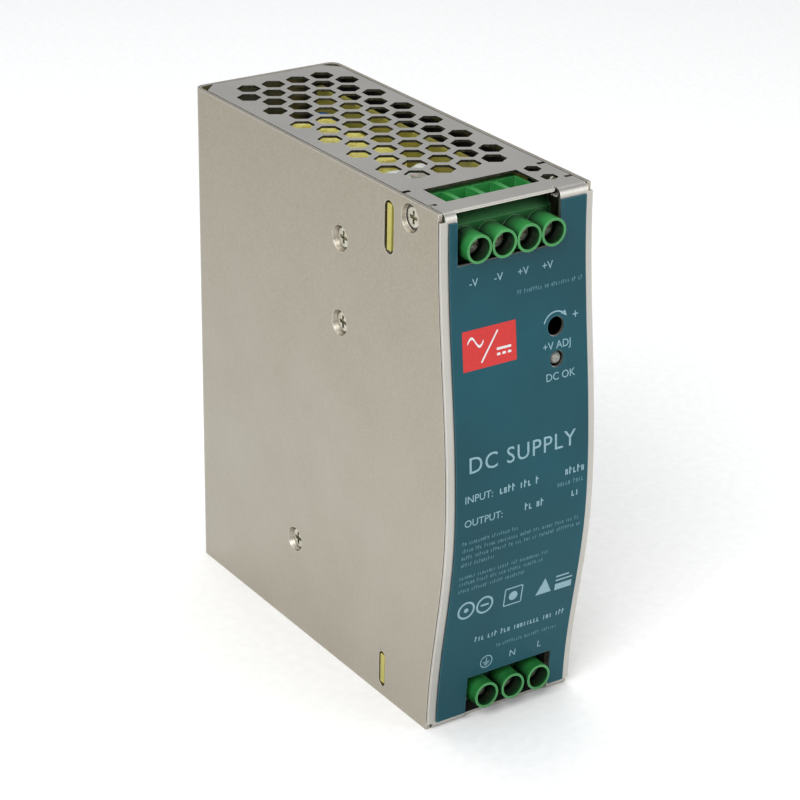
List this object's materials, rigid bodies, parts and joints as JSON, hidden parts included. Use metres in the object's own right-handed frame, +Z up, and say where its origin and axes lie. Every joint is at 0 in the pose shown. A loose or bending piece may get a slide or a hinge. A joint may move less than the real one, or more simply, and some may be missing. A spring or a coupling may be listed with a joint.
{
  "type": "din rail power supply",
  "caption": "Slim sheet-metal DIN rail power supply with a curved front, honeycomb vents, funnel screw terminals above and below, a trimmer, a status lamp and a sprung rail clip.",
  "frame": {"origin": "centre of the bounding box in X and Y, at the base", "axes": "+Z up, the curved front with the terminals faces -Y, the rail clip faces +Y, the side wall with the sink screws faces -X"},
  "size_m": [0.04, 0.1134, 0.1252],
  "materials": {
    "steel": "satin galvanised sheet",
    "label": "satin printed film",
    "film": "satin black film",
    "screw": "bright zinc plated",
    "spring": "spring steel wire",
    "green": "moulded green polyamide",
    "brass": "tinned",
    "board": "glass epoxy laminate",
    "blue": "moulded",
    "white": "moulded",
    "lens": "diffused lens, unlit",
    "ferrite": "sintered ferrite",
    "tape": "polyester film",
    "copper": "enamelled copper wire",
    "sleeve": "shrink sleeve",
    "aluminium": "plain extrusion",
    "epoxy": "moulded epoxy"
  },
  "bodies": {
    "case": {"bridge_rectifier": "epoxy", "bulk_capacitor": "sleeve", "chassis": "steel", "cover": "steel", "cover_screw_left": "screw", "cover_screw_right_low": "screw", "cover_screw_right_top": "screw", "disc_capacitor": "blue", "filter_core": "ferrite", "filter_winding": "copper", "front_label": "label", "fuse": "white", "input_block": "green", "input_board": "board", "input_contact_1": "brass", "input_contact_2": "brass", "input_contact_3": "brass", "insulation_sheet": "film", "main_board": "board", "output_block": "green", "output_board": "board", "output_capacitor_1": "sleeve", "output_capacitor_2": "sleeve", "output_contact_1": "brass", "output_contact_2": "brass", "output_diode": "epoxy", "output_inductor": "copper", "power_transistor": "epoxy", "primary_sink": "aluminium", "rail_plate": "steel", "rail_screw_1": "screw", "rail_screw_2": "screw", "rail_spring": "spring", "secondary_sink": "aluminium", "sink_screw_1": "screw", "sink_screw_2": "screw", "sink_screw_3": "screw", "status_led": "lens", "transformer_core": "ferrite", "transformer_tape": "tape", "transformer_winding": "tape", "trimmer_body": "blue", "x_capacitor": "tape"},
    "output_screw_1": {"output_screw_1": "screw"},
    "output_cage_1": {"output_cage_1": "brass"},
    "output_screw_2": {"output_screw_2": "screw"},
    "output_cage_2": {"output_cage_2": "brass"},
    "output_screw_3": {"output_screw_3": "screw"},
    "output_cage_3": {"output_cage_3": "brass"},
    "output_screw_4": {"output_screw_4": "screw"},
    "output_cage_4": {"output_cage_4": "brass"},
    "input_screw_1": {"input_screw_1": "screw"},
    "input_cage_1": {"input_cage_1": "brass"},
    "input_screw_2": {"input_screw_2": "screw"},
    "input_cage_2": {"input_cage_2": "brass"},
    "input_screw_3": {"input_screw_3": "screw"},
    "input_cage_3": {"input_cage_3": "brass"},
    "trimmer_rotor": {"trimmer_rotor": "white"},
    "rail_latch": {"rail_latch": "steel"}
  },
  "joints": [
    {"name": "output_screw_1_turn", "type": "hinge", "parent": "case", "child": "output_screw_1", "pos_m": [-0.01155, -0.04905, 0.1169], "axis": [0, 1, 0], "range_deg": [0, 1800.2]},
    {"name": "output_cage_1_slide", "type": "slide", "parent": "case", "child": "output_cage_1", "axis": [0, -1, 0], "range_m": [0, 0.0025]},
    {"name": "output_screw_2_turn", "type": "hinge", "parent": "case", "child": "output_screw_2", "pos_m": [-0.00505, -0.04905, 0.1169], "axis": [0, 1, 0], "range_deg": [0, 1800.2]},
    {"name": "output_cage_2_slide", "type": "slide", "parent": "case", "child": "output_cage_2", "axis": [0, -1, 0], "range_m": [0, 0.0025]},
    {"name": "output_screw_3_turn", "type": "hinge", "parent": "case", "child": "output_screw_3", "pos_m": [0.00145, -0.04905, 0.1169], "axis": [0, 1, 0], "range_deg": [0, 1800.2]},
    {"name": "output_cage_3_slide", "type": "slide", "parent": "case", "child": "output_cage_3", "axis": [0, -1, 0], "range_m": [0, 0.0025]},
    {"name": "output_screw_4_turn", "type": "hinge", "parent": "case", "child": "output_screw_4", "pos_m": [0.00795, -0.04905, 0.1169], "axis": [0, 1, 0], "range_deg": [0, 1800.2]},
    {"name": "output_cage_4_slide", "type": "slide", "parent": "case", "child": "output_cage_4", "axis": [0, -1, 0], "range_m": [0, 0.0025]},
    {"name": "input_screw_1_turn", "type": "hinge", "parent": "case", "child": "input_screw_1", "pos_m": [-0.0055, -0.04905, 0.0063], "axis": [0, 1, 0], "range_deg": [0, 1800.2]},
    {"name": "input_cage_1_slide", "type": "slide", "parent": "case", "child": "input_cage_1", "axis": [0, -1, 0], "range_m": [0, 0.0025]},
    {"name": "input_screw_2_turn", "type": "hinge", "parent": "case", "child": "input_screw_2", "pos_m": [0.0019, -0.04905, 0.0063], "axis": [0, 1, 0], "range_deg": [0, 1800.2]},
    {"name": "input_cage_2_slide", "type": "slide", "parent": "case", "child": "input_cage_2", "axis": [0, -1, 0], "range_m": [0, 0.0025]},
    {"name": "input_screw_3_turn", "type": "hinge", "parent": "case", "child": "input_screw_3", "pos_m": [0.0093, -0.04905, 0.0063], "axis": [0, 1, 0], "range_deg": [0, 1800.2]},
    {"name": "input_cage_3_slide", "type": "slide", "parent": "case", "child": "input_cage_3", "axis": [0, -1, 0], "range_m": [0, 0.0025]},
    {"name": "trimmer_turn", "type": "hinge", "parent": "case", "child": "trimmer_rotor", "pos_m": [0.0097, -0.03705, 0.0947], "axis": [0, 1, 0], "range_deg": [-105, 105]},
    {"name": "rail_latch_slide", "type": "slide", "parent": "case", "child": "rail_latch", "axis": [0, 0, -1], "range_m": [0, 0.0045], "stiffness_N_per_m": 1500, "springref_m": -0.002, "deforming": ["rail_spring"]}
  ],
  "couplings": [
    {"joint": "output_screw_1_turn", "follows": "output_cage_1_slide", "rad_per_m": 12566},
    {"joint": "output_screw_2_turn", "follows": "output_cage_2_slide", "rad_per_m": 12566},
    {"joint": "output_screw_3_turn", "follows": "output_cage_3_slide", "rad_per_m": 12566},
    {"joint": "output_screw_4_turn", "follows": "output_cage_4_slide", "rad_per_m": 12566},
    {"joint": "input_screw_1_turn", "follows": "input_cage_1_slide", "rad_per_m": 12566},
    {"joint": "input_screw_2_turn", "follows": "input_cage_2_slide", "rad_per_m": 12566},
    {"joint": "input_screw_3_turn", "follows": "input_cage_3_slide", "rad_per_m": 12566}
  ]
}
